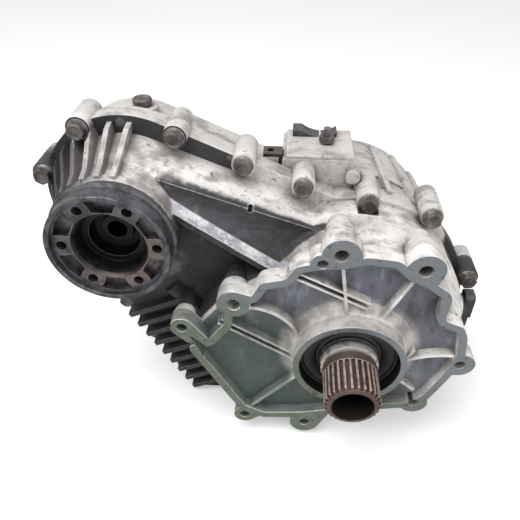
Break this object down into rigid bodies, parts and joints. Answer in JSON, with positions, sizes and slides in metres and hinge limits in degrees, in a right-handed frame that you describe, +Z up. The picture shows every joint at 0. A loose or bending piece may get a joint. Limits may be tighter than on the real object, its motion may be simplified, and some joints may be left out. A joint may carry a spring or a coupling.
{
  "type": "transfer case",
  "caption": "Full-time chain-drive transfer case: splined input in a ribbed bell, offset front output flange, coaxial rear output flange, bolted aluminium casings.",
  "frame": {"origin": "centre of the gearbox mating face on the input axis", "axes": "+X to the right seen from the gearbox, +Y back along the input shaft, +Z up"},
  "size_m": [0.3779, 0.3, 0.2765],
  "materials": {
    "cast_aluminium": "sand cast, weathered and stained, machined on its flanges",
    "bolt_steel": "dark plated, dull",
    "seal_rubber": "matt black",
    "bearing_steel": "ground",
    "rusty_steel": "light surface rust over ground steel",
    "flange_steel": "turned, oily and dirty",
    "gear_steel": "hardened and ground",
    "friction_lining": "paper friction lining",
    "black_plastic": "moulded, dusty",
    "black_steel": "black e-coat",
    "magnet": "sintered"
  },
  "bodies": {
    "casing": {"front_casing": "cast_aluminium", "rear_casing": "cast_aluminium", "casing_bolts": "bolt_steel", "dowel_pins": "bolt_steel", "input_seal": "seal_rubber", "input_bearing": "bearing_steel", "input_snap_ring": "bearing_steel", "rear_bearing": "bearing_steel", "rear_seal": "seal_rubber", "front_output_bearing": "bearing_steel", "front_bearing_snap_ring": "bearing_steel", "front_end_bearing": "bearing_steel", "front_output_seal": "seal_rubber", "drive_chain": "gear_steel", "cam_reaction_ring": "gear_steel", "oil_pump_ring": "gear_steel", "oil_strainer": "black_plastic", "oil_pickup_pipe": "gear_steel", "sump_magnet": "magnet", "fill_plug": "bolt_steel", "drain_plug": "bolt_steel", "control_cap": "black_plastic", "control_stud": "bolt_steel", "harness_bracket": "black_steel", "breather": "bolt_steel", "speed_sensor": "black_plastic"},
    "input": {"input_shaft": "rusty_steel", "planet_carrier": "gear_steel", "planet_gears": "gear_steel", "planet_pins": "gear_steel"},
    "rear_output": {"rear_output_shaft": "gear_steel", "sun_gear": "gear_steel", "sprocket_needle_bearing": "bearing_steel", "clutch_hub": "gear_steel", "clutch_friction_plates": "friction_lining", "oil_pump_rotor": "gear_steel", "rear_output_flange": "flange_steel", "rear_flange_nut": "bolt_steel"},
    "chain_wheel": {"annulus_gear": "gear_steel", "drive_sprocket": "gear_steel", "clutch_drum": "gear_steel", "clutch_steel_plates": "gear_steel", "pressure_plate": "gear_steel", "thrust_washer": "bearing_steel"},
    "front_output": {"front_output_shaft": "gear_steel", "driven_sprocket": "gear_steel", "front_output_flange": "flange_steel", "front_flange_nut": "bolt_steel"},
    "clutch_cam": {"cam_ring": "gear_steel"}
  },
  "joints": [
    {"name": "input_spin", "type": "hinge", "parent": "casing", "child": "input", "pos_m": [0, 0, 0], "axis": [0, 1, 0], "continuous": true},
    {"name": "rear_output_spin", "type": "hinge", "parent": "casing", "child": "rear_output", "pos_m": [0, 0.2, 0], "axis": [0, 1, 0], "continuous": true},
    {"name": "chain_wheel_spin", "type": "hinge", "parent": "casing", "child": "chain_wheel", "pos_m": [0, 0.1, 0], "axis": [0, 1, 0], "continuous": true},
    {"name": "front_output_spin", "type": "hinge", "parent": "casing", "child": "front_output", "pos_m": [-0.185, 0.05, 0.092], "axis": [0, 1, 0], "continuous": true},
    {"name": "clutch_cam_turn", "type": "hinge", "parent": "casing", "child": "clutch_cam", "pos_m": [0, 0.185, 0], "axis": [0, 1, 0], "range_deg": [0, 40]}
  ],
  "couplings": [
    {"joint": "rear_output_spin", "follows": "input_spin", "ratio": 1},
    {"joint": "chain_wheel_spin", "follows": "input_spin", "ratio": 1},
    {"joint": "front_output_spin", "follows": "input_spin", "ratio": 1}
  ]
}
